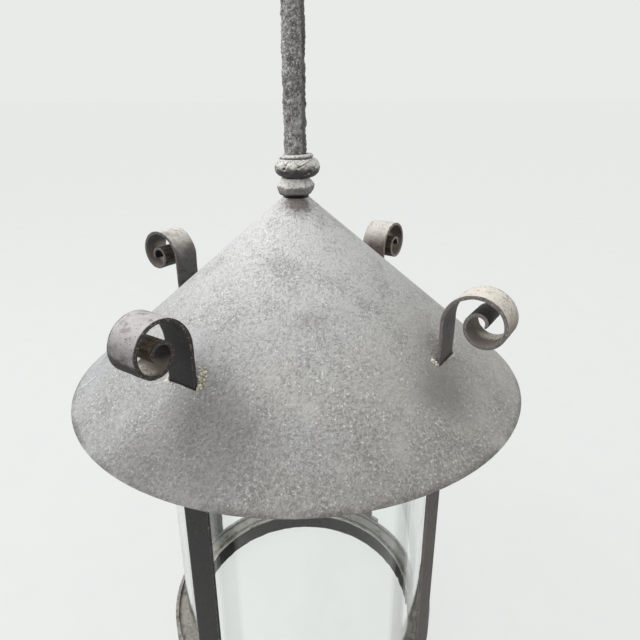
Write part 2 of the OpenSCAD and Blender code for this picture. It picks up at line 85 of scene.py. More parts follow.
# The nodes of one material, or of the world
class Finish:
    def __init__(self, owner):
        owner.use_nodes = True
        self.owner = owner
        self.tree = owner.node_tree
        self.tree.nodes.clear()

    def node(self, kind, settings=None, sockets=None, out=None):
        made = self.tree.nodes.new("ShaderNode" + kind)
        for name, value in (settings or {}).items():
            setattr(made, name, value)
        for name, value in (sockets or {}).items():
            target = openSocket(made.inputs, name)
            if isinstance(value, Wire):
                self.tree.links.new(value.socket, target)
            else:
                target.default_value = value
        return Wire(self, openSocket(made.outputs, out)) if made.outputs else None

    def math(self, operation, *values):
        return self.node("Math", {"operation": operation}, dict(enumerate(values)))

    def vector(self, operation, *values, out=None):
        return self.node("VectorMath", {"operation": operation}, dict(enumerate(values)), out)

    def mix(self, first, second, share):
        return self.node("Mix", {"data_type": "RGBA"}, {"Factor": share, "A": first, "B": second})

    # A colour with a share of another tone laid over it
    def over(self, colour, tone, share):
        return self.mix(colour, paint(*tone), share)

    def near(self, place, spot):
        return self.vector("DISTANCE", place, spot, out="Value")

    def place(self):
        return self.node("TexCoord", out="Object")

    def facing(self):
        return self.node("TexCoord", out="Normal")

    def split(self, vector):
        axes = self.node("SeparateXYZ", sockets={"Vector": vector}, out="X").socket.node.outputs
        return [Wire(self, axes[k]) for k in range(3)]

    # Cloudy noise with lumps of about this size in metres
    def cloud(self, place, size, detail=3.0, rough=0.55, warp=0.0, stretch=None):
        if stretch:
            place = self.vector("MULTIPLY", place, stretch)
        return self.node("TexNoise", None, {"Vector": place, "Scale": 1 / size, "Detail": detail,
                                            "Roughness": rough, "Distortion": warp}, "Fac")

    # Distance to the nearest cell centre, for grains and pits of this size
    def grains(self, place, size):
        return self.node("TexVoronoi", {"feature": "F1"}, {"Vector": place, "Scale": 1 / size}, "Distance")

    def bump(self, height, depth, strength, normal=None):
        sockets = {"Height": height, "Distance": depth, "Strength": strength}
        if normal is not None:
            sockets["Normal"] = normal
        return self.node("Bump", None, sockets, "Normal")

    def softEdge(self, radius):
        return self.node("Bevel", {"samples": 4}, {"Radius": radius}, "Normal")

    def shader(self, baseColor, roughness, normal=None, plain=None):
        sockets = {"Base Color": baseColor, "Roughness": roughness}
        if normal is not None:
            sockets["Normal"] = normal
        sockets.update(plain or {})
        return self.node("BsdfPrincipled", None, sockets, "BSDF")

    def close(self, shader, kind="OutputMaterial"):
        self.node(kind, None, {"Surface": shader})
        return self.owner


def newFinish(name):
    return Finish(bpy.data.materials.new(name))


# A colour given as it looks on a screen, 0 to 255 a channel
def paint(red, green, blue):
    def straight(value):
        share = value / 255
        return share / 12.92 if share <= 0.04045 else ((share + 0.055) / 1.055) ** 2.4
    return (straight(red), straight(green), straight(blue), 1.0)


def dress(material, *names):
    for name in names:
        owner = nodes[name]
        if not owner.material_slots:
            owner.data.materials.append(material)
        for materialSlot in owner.material_slots:
            materialSlot.material = material


def addPiece(name, points, faces, material):
    mesh = bpy.data.meshes.new(name)
    mesh.from_pydata(points, [], faces)
    mesh.polygons.foreach_set("use_smooth", [True] * len(faces))
    mesh.materials.append(material)
    mesh.update()
    piece = bpy.data.objects.new(name, mesh)
    bpy.context.scene.collection.objects.link(piece)
    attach(piece, "lantern")
    return piece


# A closed skin over rings of points; a looped run of rings closes on itself, another gets caps
def skin(name, rings, looped, material, node):
    count, around = len(rings), len(rings[0])
    points = [point for ring in rings for point in ring]
    faces = []
    for row in range(count if looped else count - 1):
        first, second = row * around, (row + 1) % count * around
        for k in range(around):
            m = (k + 1) % around
            faces.append((first + k, first + m, second + m, second + k))
    if not looped:
        faces.append(tuple(reversed(range(around))))
        faces.append(tuple(range((count - 1) * around, count * around)))
    piece = addPiece(name, points, faces, material)
    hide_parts(node)
    return piece


def steps(low, high, count):
    return [low + (high - low) * k / (count - 1) for k in range(count)]


def ease(value, low, high):
    share = min(1.0, max(0.0, (value - low) / (high - low)))
    return share * share * (3 - 2 * share)


# Smooth noise from -1 to 1 with lumps of this size, the same on each run
def lumpy(point, size, octaves=3):
    return noise.fractal(Vector(point) / size, 1.0, 2.0, octaves)


# Layers of smooth noise, each given as its height, size and octaves
def layered(point, layers):
    return sum(high * lumpy(point, size, octaves) for high, size, octaves in layers)


def fullTurn(count):
    return [math.tau * k / count for k in range(count)]


# X and Y at this radius, with the angle counted from the front
def offAxis(radius, angle):
    return radius * math.sin(angle), -radius * math.cos(angle)


def circle(radius, z, angles):
    return [(*offAxis(radius, a), z) for a in angles]


print("shader and mesh tools ready")

studio = {
    "cameraSpot": (0.0002, -0.4439, 0.5171),
    "yaw": 2.609, "pitch": 20.786, "roll": -0.178,
    "focalPixels": 546.95, "centreOff": (1.69, -16.6), "picture": 640, "sensor": 36.0, "clip": (0.02, 200),
    "pale": (236, 238, 236), "mottle": (231, 234, 232), "floorGlow": 0.88, "skyLight": 0.88,
    "floorReach": 60.0, "floorHeight": -0.0002,
    "lamps": {
        "windowLamp": {"spot": (-1.1, 0.1, 1.7), "aim": (0, 0, 0.3), "size": 1.2, "power": 17},
        "sideLamp": {"spot": (-1.5, -0.9, 1.0), "aim": (0, 0, 0.3), "size": 1.0, "power": 5},
    },
}


def makeCamera():
    yaw, pitch, roll = (math.radians(studio[k]) for k in ("yaw", "pitch", "roll"))
    level = math.cos(pitch)
    ahead = Vector((math.sin(yaw) * level, math.cos(yaw) * level, -math.sin(pitch)))
    right = Vector((math.cos(yaw), -math.sin(yaw), 0))
    up = right.cross(ahead)
    tilted = math.cos(roll) * right + math.sin(roll) * up
    upright = -math.sin(roll) * right + math.cos(roll) * up
    data = bpy.data.cameras.new("camera")
    data.sensor_width = studio["sensor"]
    data.lens = studio["sensor"] * studio["focalPixels"] / studio["picture"]
    data.shift_x = -studio["centreOff"][0] / studio["picture"]
    data.shift_y = studio["centreOff"][1] / studio["picture"]
    data.clip_start, data.clip_end = studio["clip"]
    camera = bpy.data.objects.new("camera", data)
    turned = Matrix((tilted, upright, -ahead)).transposed().to_4x4()
    camera.matrix_world = Matrix.Translation(studio["cameraSpot"]) @ turned
    bpy.context.scene.collection.objects.link(camera)
    bpy.context.scene.camera = camera


def makeLamp(name, spot, aim, size, power):
    data = bpy.data.lights.new(name, "AREA")
    data.size, data.energy = size, power
    lamp = bpy.data.objects.new(name, data)
    lamp.location = spot
    lamp.rotation_mode = "QUATERNION"
    lamp.rotation_quaternion = (Vector(aim) - Vector(spot)).to_track_quat("-Z", "Y")
    bpy.context.scene.collection.objects.link(lamp)


# 1 for what is seen directly, in gloss or through glass, 0 for what only lights
def seenRays(finish):
    rays = finish.node("LightPath", out="Is Camera Ray").socket.node.outputs
    camera, glossy, passed = (Wire(finish, rays["Is " + kind + " Ray"])
                              for kind in ("Camera", "Glossy", "Transmission"))
    return finish.math("MAXIMUM", finish.math("MAXIMUM", camera, glossy), passed)


def makeWorld():
    finish = Finish(bpy.data.worlds.new("studio"))
    glow, light = studio["floorGlow"], studio["skyLight"]
    colour = paint(*studio["pale"])
    backLevel = glow + (1 - glow) * light * colour[0]
    level = finish.math("MULTIPLY_ADD", seenRays(finish), backLevel - light, light)
    sky = finish.node("Background", None, {"Color": colour, "Strength": level})
    bpy.context.scene.world = finish.close(sky, "OutputWorld")


# The floor glows where it is seen, so it stays pale under the roof with only a faint shadow
def makeFloor():
    mesh = bpy.data.meshes.new("floor")
    reach, height = studio["floorReach"], studio["floorHeight"]
    corners = [(-reach, -reach), (reach, -reach), (reach, reach), (-reach, reach)]
    mesh.from_pydata([(x, y, height) for x, y in corners], [], [(0, 1, 2, 3)])
    floor = bpy.data.objects.new("floor", mesh)
    finish = newFinish("paleFloor")
    mottle = finish.cloud(finish.place(), 0.05, detail=4)
    colour = finish.mix(paint(*studio["pale"]), paint(*studio["mottle"]), mottle)
    matt = finish.shader(colour, 0.6)
    glow = finish.node("Emission", None, {"Color": colour})
    both = finish.node("MixShader", None, {0: seenRays(finish) * studio["floorGlow"], 1: matt, 2: glow})
    mesh.materials.append(finish.close(both))
    bpy.context.scene.collection.objects.link(floor)


makeCamera()
for lampName, lamp in studio["lamps"].items():
    makeLamp(lampName, **lamp)
makeWorld()
makeFloor()
bpy.context.scene.view_settings.view_transform = "Standard"
print("studio ready")

roofLook = {
    "cool": (178, 179, 182), "warm": (183, 179, 174), "light": (220, 219, 218), "dark": (100, 96, 93),
    "tipPale": (224, 223, 224), "dull": (130, 126, 123), "white": (242, 241, 238), "shade": (116, 112, 111),
    "stain": (120, 98, 84), "stainDark": (84, 66, 56), "rim": (88, 81, 76),
    "rimRadius": 0.1905, "rimHeight": 0.287, "coneRise": 0.163, "tipHeight": 0.442,
    "stainSpot": (0.002, -0.015, 0.4380), "dentSpot": (-0.1085, -0.1480, 0.2930),
    "leftSpot": (-0.0605, -0.1476, 0.3135), "rightSpot": (0.1016, -0.1095, 0.3222),
    "scratch": [(-0.180, -0.0376, 0.2925), (-0.1640, -0.0400, 0.3060)],
}


# Height of the cone's outer face at this radius
def coneHeight(radius):
    look = roofLook
    return look["rimHeight"] + look["coneRise"] - look["coneRise"] / look["rimRadius"] * radius


def roofFinish():
    look = roofLook
    finish = newFinish("weatheredSheet")
    place = finish.place()
    x, y, z = finish.split(place)
    radius = (x * x + y * y) ** 0.5
    broad = finish.cloud(place, 0.12, detail=2)
    patches = finish.cloud(place, 0.026, detail=4, rough=0.6)
    sand = finish.cloud(place, 0.0024, detail=4, rough=0.7)
    fine = finish.cloud(place, 0.0011, detail=2, rough=0.6)
    flecks = finish.grains(place, 0.0026)
    warmth = ((x * 2.2 - y * 1.6) + (broad - 0.5) * 1.6 + 0.45).rise(0.0, 1.0)
    colour = finish.mix(paint(*look["cool"]), paint(*look["warm"]), warmth)
    # paler towards the tip, and painted shade towards the rim in front
    high = (z + (broad - 0.5) * 0.03).rise(look["rimHeight"] + 0.03, look["tipHeight"] - 0.01)
    colour = finish.over(colour, look["tipPale"], high * 0.95)
    frontShade = (radius - y * 0.6 + patches * 0.02).rise(0.2, 0.33)
    colour = finish.over(colour, look["dull"], frontShade * 0.55)
    colour = finish.over(colour, look["dull"], patches.rise(0.5, 0.72) * 0.35)
    colour = finish.over(colour, look["light"], patches.rise(0.46, 0.3) * 0.25)
    # sandy crust: dark gaps, light grains and a few white flecks
    thick = patches.rise(0.34, 0.56)
    gaps = (sand * 0.6 + fine * 0.4).rise(0.49, 0.4)
    grain = (sand * 0.5 + fine * 0.5).rise(0.52, 0.62)
    speck = flecks.rise(0.34, 0.18) * sand.rise(0.44, 0.54) * (1 - frontShade * 0.6)
    colour = finish.over(colour, look["dark"], gaps * (0.15 + thick * 0.25))
    colour = finish.over(colour, look["light"], grain * (0.3 + thick * 0.3))
    colour = finish.over(colour, look["white"], speck * (0.4 + thick * 0.55))
    # brown stain where water ran from under the collar
    around = finish.math("ARCTAN2", x, y)
    streaky = finish.node("CombineXYZ", None, {"X": around * 0.05, "Y": radius * 0.25}, "Vector")
    runs = finish.cloud(streaky, 0.016, detail=4, rough=0.65)
    tip = (radius + runs * 0.03).rise(0.042, 0.022) * runs.rise(0.42, 0.6)
    colour = finish.over(colour, look["stain"], tip * 0.45)
    wet = finish.near(place, look["stainSpot"]) + (patches - 0.5) * 0.03 + (sand - 0.5) * 0.014
    wet = wet.rise(0.0155, 0.004)
    colour = finish.over(colour, look["stainDark"], wet * 0.75)
    rim = radius.rise(look["rimRadius"] - 0.0045, look["rimRadius"] - 0.0003) * patches.rise(0.3, 0.6)
    colour = finish.over(colour, look["rim"], rim * 0.6)
    # one pale scratch near the rim
    first, second = (Vector(p) for p in look["scratch"])
    along = (second - first).normalized()
    offset = finish.vector("SUBTRACT", place, first)
    run = finish.vector("DOT_PRODUCT", offset, along, out="Value")
    wide = finish.vector("LENGTH", finish.vector("CROSS_PRODUCT", offset, along), out="Value")
    scratch = wide.rise(0.0011, 0.0004) * run.rise(-0.001, 0.002) * run.rise((second - first).length, 0.014)
    colour = finish.over(colour, look["white"], scratch * 0.8)
    # painted shade over a soft dent under the front left strap, and painted shade in patches near both front
    # straps
    dent = (finish.near(place, look["dentSpot"]) + (broad - 0.5) * 0.02).rise(0.034, 0.006)
    colour = finish.over(colour, look["shade"], dent * 0.45)
    left = finish.near(place, look["leftSpot"]) + (broad - 0.5) * 0.03 + (patches - 0.5) * 0.03
    colour = finish.over(colour, look["shade"], left.rise(0.058, 0.018) * 0.5)
    right = finish.near(place, look["rightSpot"]) + (broad - 0.5) * 0.03 + (patches - 0.5) * 0.034
    colour = finish.over(colour, look["shade"], right.rise(0.036, 0.004) * 0.62)
    height = sand * 0.6 + fine * 0.3 + grain * 0.3 + speck * 0.4 - gaps * 0.4 + patches * 0.4 - scratch * 0.2
    normal = finish.bump(height, 0.0014, 0.75, finish.softEdge(0.0006))
    normal = finish.bump(broad - dent * 0.25, 0.02, 0.3, normal)
    return finish.close(finish.shader(colour, 0.52 + grain * 0.16, normal, {"Metallic": 0.15}))


dress(roofFinish(), "roof")
print("roof finished")

rodLook = {
    "radius": 0.00855, "bore": 0.00625, "foot": 0.254, "top": 0.650, "around": 72,
    "thread": {"foot": 0.632, "crest": 0.00833, "depth": 0.0009, "pitch": 0.001411,
               "sharp": 1.15, "chamfer": 0.0006},
    "iron": (112, 110, 111), "pale": (168, 167, 166), "scale": (78, 75, 73), "rust": (98, 88, 82),
    "light": (206, 204, 201), "dark": (52, 49, 48), "pitted": (48, 45, 44), "leeShade": (46, 43, 43),
    "plainTo": 0.4435, "hidden": (0.4450, 0.4720), "knobsFrom": 0.474,
    "knobs": [(0.0011, 0.0075, 3), (0.0006, 0.0026, 2)], "knobMost": 0.0008, "fade": (0.003, 0.004),
    "pit": {"height": 0.4815, "turn": -18, "size": 0.0016, "depth": 0.0011},
}


# Radius of the pipe's outer face: knobbly where it shows, threaded at the top
def rodRadius(angle, z):
    look = rodLook
    thread = look["thread"]
    if z > thread["foot"]:
        turn = (z / thread["pitch"] - angle / math.tau) % 1.0
        ridge = min(1.0, abs(2 * turn - 1) * thread["sharp"])
        start = ease(z, thread["foot"], thread["foot"] + thread["pitch"])
        end = ease(z, look["top"] - thread["chamfer"], look["top"])
        return thread["crest"] - thread["depth"] * ((1 - ridge) * start + end * 0.4)
    knobs = layered((*offAxis(look["radius"], angle), z), look["knobs"])
    pit = look["pit"]
    far = math.hypot((angle - math.radians(pit["turn"])) * look["radius"], z - pit["height"])
    knobs -= pit["depth"] * (1 - ease(far, pit["size"] * 0.45, pit["size"]))
    fadeIn, fadeOut = look["fade"]
    share = ease(z, look["knobsFrom"], look["knobsFrom"] + fadeIn)
    share *= 1 - ease(z, thread["foot"] - fadeOut, thread["foot"])
    return look["radius"] + min(look["knobMost"], knobs) * share


def rodFinish():
    look = rodLook
    finish = newFinish("pittedPipe")
    place = finish.place()
    x, y, _ = finish.split(place)
    lumps = finish.cloud(place, 0.012, detail=5, rough=0.65, stretch=(1, 1, 0.6))
    flaky = finish.cloud(place, 0.0042, detail=4, rough=0.7, warp=0.8)
    grit = finish.cloud(place, 0.0016, detail=3, rough=0.7)
    pits = finish.grains(place, 0.0031)
    colour = finish.mix(paint(*look["iron"]), paint(*look["pale"]), lumps.rise(0.42, 0.62) * 0.65)
    flakes = flaky.rise(0.54, 0.6)
    colour = finish.over(colour, look["scale"], flakes * 0.7)
    colour = finish.over(colour, look["rust"], flaky.rise(0.5, 0.54) * flaky.rise(0.6, 0.55) * 0.6)
    colour = finish.over(colour, look["light"], grit.rise(0.54, 0.64) * 0.65)
    colour = finish.over(colour, look["dark"], grit.rise(0.44, 0.34) * 0.6)
    # painted shade in the pits
    colour = finish.over(colour, look["pitted"], pits.rise(0.22, 0.1) * lumps.rise(0.58, 0.44) * 0.7)
    # painted shade on the side away from the light
    leeShade = (x + y * 0.2 + (lumps - 0.5) * 0.006).rise(0.0032, 0.0056)
    colour = finish.over(colour, look["leeShade"], leeShade * 0.75)
    height = flakes * 0.5 + lumps * 0.5 + grit * 0.45 - pits.rise(0.25, 0.1) * 0.35
    normal = finish.bump(height, 0.0009, 0.8, finish.softEdge(0.0003))
    return finish.close(finish.shader(colour, 0.5 + flakes * 0.2, normal, {"Metallic": 0.2}))


def makeRod():
    look = rodLook
    thread = look["thread"]
    heights = steps(look["foot"], look["plainTo"], 8) + steps(*look["hidden"], 6)
    heights += steps(look["knobsFrom"], thread["foot"], 330)
    heights += steps(thread["foot"] + 0.0001, look["top"], 130)
    angles = fullTurn(look["around"])
    rings = []
    for z in heights:
        radii = [rodRadius(angle if angle < math.pi else angle - math.tau, z) for angle in angles]
        rings.append([(*offAxis(r, a), z) for r, a in zip(radii, angles)])
    rings += [circle(look["bore"], z, angles) for z in (look["top"], look["foot"])]
    skin("pipe_weathered", rings, True, rodFinish(), "down_rod")


makeRod()
print("pipe finished")

trimLook = {
    "iron": (138, 133, 129), "pale": (216, 213, 209), "dark": (40, 37, 36), "brown": (104, 92, 84),
    "light": (238, 237, 235), "gap": (14, 12, 12), "bore": 0.0086, "around": 144,
    "bead": {"foot": 0.45694, "height": 0.0152, "radius": 0.018, "shift": 0.0013, "sweep": (-84, 60),
             "seatRows": 3, "seatSwell": 0.6, "lumps": [(0.00055, 0.011, 3), (0.0003, 0.0034, 2)]},
    "neck": {"foot": 0.47114, "height": 0.0034, "radius": 0.0125, "shift": 0.00065, "sweep": (-60, 84),
             "sunk": 0.0004, "tilt": 3.0, "edge": 0.0003, "bulge": 0.0012},
    "collar": {"foot": 0.4431, "height": 0.01395, "waist": 0.52, "tilt": 2.6,
               "footFlat": 0.0110, "waistFlat": 0.0133, "headFlat": 0.0092, "boss": 0.0103, "belly": 0.0004,
               "soft": 0.0003, "sharp": 70, "straightOver": 0.4},
    "cracks": [{"from": (-0.0100, 0.4640), "to": (-0.0070, 0.4695), "wide": 0.0007, "deep": 0.0011},
               {"from": (0.0008, 0.4655), "to": (0.0125, 0.4712), "wide": 0.0006, "deep": 0.0009},
               {"from": (0.0060, 0.4600), "to": (0.0100, 0.4622), "wide": 0.0010, "deep": 0.0007}],
    "crackBend": 0.0006, "crackBends": 420,
}


def trimFinish(name, footHeight, headHeight, underShadeShare, headShade):
    look = trimLook
    finish = newFinish(name)
    place = finish.place()
    _, _, z = finish.split(place)
    _, _, nz = finish.split(finish.facing())
    lumps = finish.cloud(place, 0.008, detail=5, rough=0.65)
    grit = finish.cloud(place, 0.0017, detail=3, rough=0.7)
    flaky = finish.cloud(place, 0.0036, detail=4, rough=0.7, warp=0.6)
    # paler on faces that look up as painted light, and painted shade on the underside
    colour = finish.mix(paint(*look["iron"]), paint(*look["pale"]), (nz + lumps * 0.6).rise(0.1, 0.8) * 0.9)
    colour = finish.over(colour, look["brown"], flaky.rise(0.53, 0.62) * 0.6)
    underShade = (nz + (lumps - 0.5) * 0.9).rise(0.3, -0.4) * z.rise(headHeight, (footHeight + headHeight) / 2)
    colour = finish.over(colour, look["dark"], underShade * underShadeShare)
    # painted highlight flecks on faces that look up, and dark specks
    colour = finish.over(colour, look["light"], grit.rise(0.53, 0.63) * (nz + 0.6).rise(0.2, 1.0) * 0.75)
    colour = finish.over(colour, look["dark"], grit.rise(0.45, 0.35) * (0.3 + underShadeShare * 0.4))
    # black shadow in the joints below and above
    gap = z.rise(footHeight + 0.0021, footHeight + 0.0004)
    gap = finish.math("MAXIMUM", gap, z.rise(headHeight - 0.0016, headHeight - 0.0004) * headShade)
    colour = finish.over(colour, look["gap"], gap * 0.95)
    height = lumps * 0.6 + flaky * 0.4 + grit * 0.45
    normal = finish.bump(height, 0.0013, 0.85)
    return finish.close(finish.shader(colour, 0.42 + lumps * 0.15, normal, {"Specular IOR Level": 0.4}))


# Depth of the forging cracks at a point of the bead's front
def crackDepth(x, y, z):
    if y > 0:
        return 0.0
    depth = 0.0
    for crack in trimLook["cracks"]:
        start, end = Vector(crack["from"]), Vector(crack["to"])
        run = end - start
        here = Vector((x, z)) - start
        share = min(1.0, max(0.0, here.dot(run) / run.length_squared))
        often = trimLook["crackBends"]
        bend = trimLook["crackBend"] * noise.noise(Vector((x * often, z * often, 3.0)))
        far = abs((here - run * share).length + bend)
        depth = max(depth, crack["deep"] * (1 - ease(far, crack["wide"] * 0.3, crack["wide"])))
    return depth


# Bead and neck ring as one forged lump: rings from the foot up, then back down the bore
def makeBead():
    look = trimLook
    bead, neck = look["bead"], look["neck"]
    side = bead["height"] / 2
    flat = bead["radius"] - side
    middle = bead["foot"] + side
    profile = [(look["bore"], bead["foot"], 0), (flat * 0.95, bead["foot"], 0)]
    for degrees in steps(*bead["sweep"], 44):
        a = math.radians(degrees)
        profile.append((flat + side * math.cos(a), middle + side * math.sin(a), 0))
    low, high = neck["foot"] - neck["sunk"], neck["foot"] + neck["height"]
    roll = (high - low) / 2
    profile.append((neck["radius"] - neck["edge"], low, 1))
    for degrees in steps(*neck["sweep"], 14):
        a = math.radians(degrees)
        across = neck["radius"] - roll + (roll + neck["edge"]) * math.cos(a)
        profile.append((across, low + roll + roll * math.sin(a), 1))
    profile += [(look["bore"] + 0.0006, high - 0.0001, 1), (look["bore"], high - 0.0005, 1)]
    angles = fullTurn(look["around"])
    tilt = math.tan(math.radians(neck["tilt"]))
    rings = []
    for row, (radius, z, onNeck) in enumerate(profile):
        if radius == look["bore"]:                          # the bore stays round
            rings.append(circle(radius, z, angles))
            continue
        ring = []
        for a in angles:
            x, y = offAxis(radius, a)
            swell = layered((x, y, z), bead["lumps"]) - crackDepth(x, y, z)
            if onNeck:                                      # the neck ring bulges at one side
                swell += neck["bulge"] * ease(math.sin(a), 0.5, 0.9) * ease(math.cos(a), -0.2, 0.3)
            scale = (radius + swell * (bead["seatSwell"] if row < bead["seatRows"] else 1.0)) / radius
            x, y = x * scale, y * scale
            lift = tilt * x if onNeck else 0.0
            x += (neck if onNeck else bead)["shift"]
            ring.append((x, y, max(z + lift, bead["foot"])))
        rings.append(ring)
    finish = trimFinish("forgedBead", bead["foot"], high, 0.92, 0.0)
    skin("bead_forged", rings, True, finish, "knuckle_bead")


# Collar of six flats, widest at its waist, with softened corners and a leaning waist
def makeCollar():
    look = trimLook
    collar = look["collar"]
    head = collar["foot"] + collar["height"]
    rows = [(0.0, collar["footFlat"]), (collar["waist"], collar["waistFlat"]), (1.0, collar["headFlat"])]
    levels = [0.0, 0.03] + steps(0.06, 0.94, 26) + [0.97, 1.0]
    tilt = math.tan(math.radians(collar["tilt"]))
    angles = fullTurn(look["around"])
    rings = [circle(radius, coneHeight(radius), angles) for radius in (look["bore"], collar["boss"])]
    rings.append(circle(collar["boss"], collar["foot"] - 0.0003, angles))
    for level in levels:
        (low, flatLow), (high, flatHigh) = rows[:2] if level < collar["waist"] else rows[1:]
        share = (level - low) / (high - low)
        apothem = flatLow + (flatHigh - flatLow) * share
        apothem -= collar["soft"] * (1 - ease(abs(level - collar["waist"]), 0.0, 0.05))
        apothem -= collar["soft"] * (1 - ease(min(level, 1 - level), 0.0, 0.04))
        if level < collar["waist"]:
            apothem += collar["belly"] * math.sin(math.pi * share)
        ring = []
        for a in angles:
            lean = [math.cos(a - math.radians(30 + 60 * k) - math.pi / 2) for k in range(6)]
            spread = sum(max(0.0, c) ** collar["sharp"] for c in lean) ** (1 / collar["sharp"])
            radius = apothem / spread
            x, y = offAxis(radius, a)
            z = collar["foot"] + level * collar["height"]
            swell = 0.0004 * lumpy((x, y, z + 0.3), 0.009) + 0.00022 * lumpy((x, y, z), 0.003, 2)
            radius = max(radius + swell, look["bore"] + 0.0004)
            x, y = offAxis(radius, a)
            fade = min(1.0, (1 - level) / collar["straightOver"])
            ring.append((x, y, min(z + tilt * x * fade, head)))
        rings.append(ring)
    rings.append(circle(look["bore"], head, angles))
    finish = trimFinish("forgedCollar", collar["foot"], head, 0.35, 0.9)
    skin("collar_forged", rings, True, finish, "faceted_collar")


makeBead()
makeCollar()
print("bead and collar finished")

# tones of the two back straps, painted light and shade as on the others
backTones = {"margin": 0.0005, "leeShade": (128, 118, 110), "streak": (48, 38, 32), "hollowShade": (30, 25, 22),
             "creamTo": 330, "creamFrom": -0.004, "bruise": 0.4}

# The straps' courses follow the CAD's: the rise of each scroll, the radii of its eighth turns as
# shares of the curl, and the degrees that it turns. upset is how much the hammer thickened the bar.
# far is the sign of Y, across the bar, on the side that has painted light inside the scroll; this painted
# light begins at creamFrom across the bar and ends where the bar has turned by creamTo.
strapLook = {
    "inner": 0.1337, "thick": 0.0024, "upset": 0.0004, "wide": 0.0254, "radius": 0.00045, "foot": 0.0008,
    "coarseTo": 0.285, "fineFrom": 0.2865, "roofClear": 0.340, "freeOver": 0.008, "curlHeight": 0.365,
    "curl": 0.027, "stride": 0.0011, "tipThin": 0.35, "tipNarrow": 0.03, "wander": 0.014,
    "hammer": [(0.00018, 0.012, 2), (0.00007, 0.004, 2)],
    # each strap's tones are mostly painted light and shade, lighter or darker by how light falls on it
    "straps": {
        "strap_front_left": {
            "angle": -126.2, "rise": -0.06, "turn": 592, "far": -1,
            "leg": (34, 31, 32), "side": (56, 52, 52), "crown": (198, 194, 194), "margin": 0.0009,
            "leeShade": (40, 34, 36), "coil": (124, 112, 94), "streak": (66, 48, 38), "hollowShade": (12, 10, 10),
            "creamTo": 275, "creamFrom": -0.012, "bruise": 0.75,
            "shares": [1.1, 0.9, 0.79, 0.73, 0.68, 0.61, 0.53, 0.46, 0.42, 0.37, 0.32, 0.28, 0.24, 0.21]},
        "strap_front_right": {
            "angle": -36.2, "rise": -0.01, "turn": 590, "far": 1,
            "leg": (72, 63, 59), "side": (108, 103, 102), "crown": (240, 233, 221), "margin": 0.0007,
            "leeShade": (120, 104, 95), "coil": (50, 41, 36), "streak": (22, 18, 16), "hollowShade": (84, 72, 54),
            "creamTo": 345, "creamFrom": -0.002, "bruise": 0.2,
            "shares": [0.98, 0.93, 0.86, 0.75, 0.64, 0.59, 0.56, 0.52, 0.45, 0.36, 0.29, 0.24, 0.2, 0.18]},
        "strap_back_right": {
            **backTones,
            "angle": 53.8, "rise": 0.05, "turn": 561, "far": 1,
            "leg": (88, 78, 73), "side": (128, 118, 112), "crown": (228, 222, 214), "coil": (92, 80, 68),
            "shares": [0.96, 0.89, 0.82, 0.74, 0.66, 0.58, 0.51, 0.44, 0.4, 0.36, 0.32, 0.29, 0.26, 0.23]},
        "strap_back_left": {
            **backTones,
            "angle": 143.8, "rise": 0.14, "turn": 585, "far": -1,
            "leg": (92, 90, 90), "side": (84, 80, 79), "crown": (228, 223, 215), "coil": (92, 82, 70),
            "shares": [0.98, 0.88, 0.8, 0.74, 0.67, 0.58, 0.5, 0.43, 0.37, 0.34, 0.31, 0.28, 0.26, 0.23]},
    },
    "brown": (74, 58, 50), "dark": (30, 27, 26), "taupe": (124, 113, 106),
    "litCream": (246, 239, 222), "wear": (166, 161, 155), "bruised": (132, 124, 128), "blotch": (112, 104, 101),
}


# Points, as (radius, height), and normals of the strap's face that looks to the axis on its leg,
# with the degrees turned so far, and the centre of the last arc
def strapCourse(strap):
    look = strapLook
    start = look["curlHeight"] + look["curl"] * strap["rise"]
    heights = steps(look["foot"], look["coarseTo"], 60) + steps(look["fineFrom"], start - 0.001, 66)
    course = [((look["inner"], z), (-1.0, 0.0), 0.0) for z in heights]
    centre = Vector((look["inner"] + look["curl"] * strap["shares"][0], start))
    turned, eighth = 0.0, 0
    while turned <= strap["turn"]:
        k = int(turned // 45)
        if k > eighth:
            bend = math.radians(180 - k * 45)
            less = look["curl"] * (strap["shares"][eighth] - strap["shares"][k])
            centre = centre + less * Vector((math.cos(bend), math.sin(bend)))
            eighth = k
        reach = look["curl"] * strap["shares"][k]
        a = math.radians(180 - turned)
        away = (math.cos(a), math.sin(a))
        course.append(((centre.x + reach * away[0], centre.y + reach * away[1]), away, turned))
        turned += look["stride"] / reach * 180 / math.pi
    return course, centre


